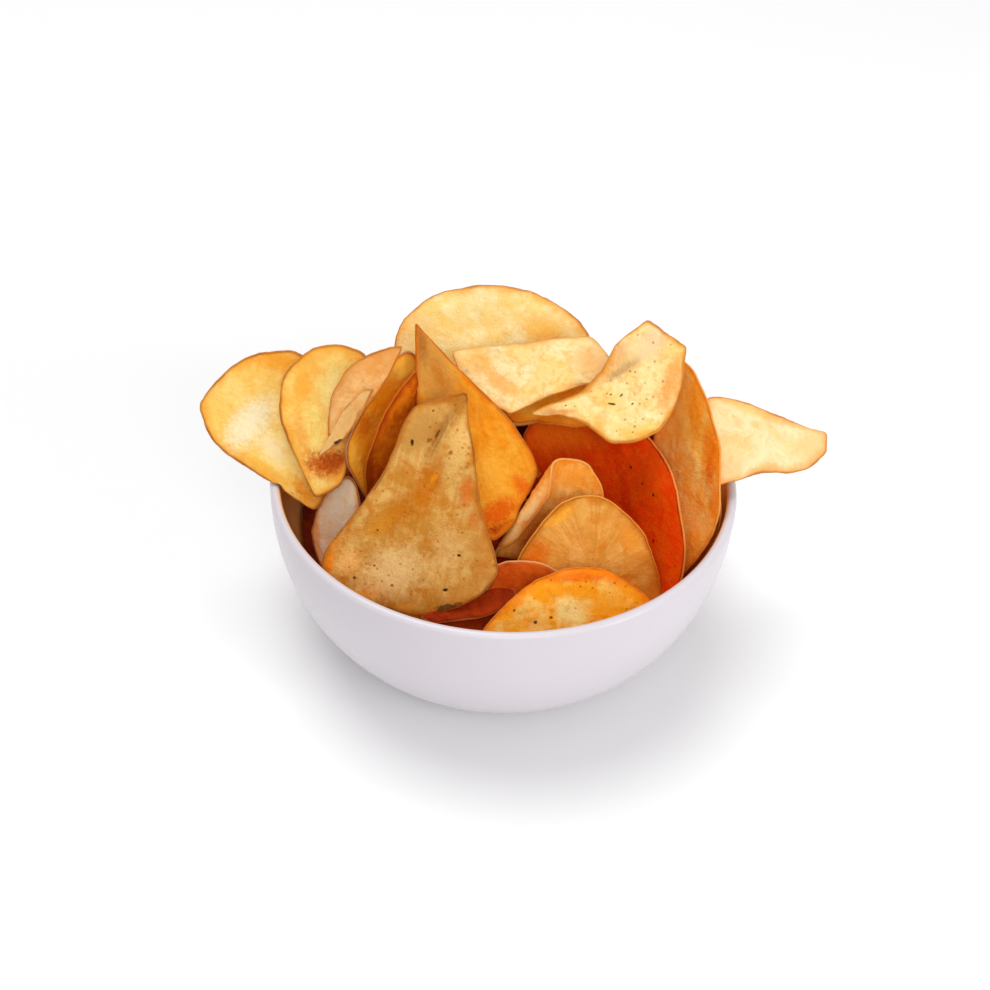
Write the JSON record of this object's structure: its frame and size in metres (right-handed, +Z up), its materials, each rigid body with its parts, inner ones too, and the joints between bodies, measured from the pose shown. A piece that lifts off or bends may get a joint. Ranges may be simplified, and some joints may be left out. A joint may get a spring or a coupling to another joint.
{
  "type": "bowl of crisps",
  "caption": "Round white bowl heaped above its rim with thin, curved fried vegetable crisps, standing on a table",
  "frame": {"origin": "centre of the underside of the bowl's flat foot", "axes": "+Z up along the bowl's axis; +X along the heap's longest reach, to the right as seen from the front; -Y towards the front, where the lowest crisps lie"},
  "size_m": [0.1876, 0.14, 0.1117],
  "materials": {
    "glazed_bowl": "smooth white glaze, soft gloss",
    "fried_crisp": "dry fried surface, golden to deep orange"
  },
  "bodies": {
    "root": {"bowl": "glazed_bowl", "crisps": "fried_crisp"}
  },
  "joints": []
}
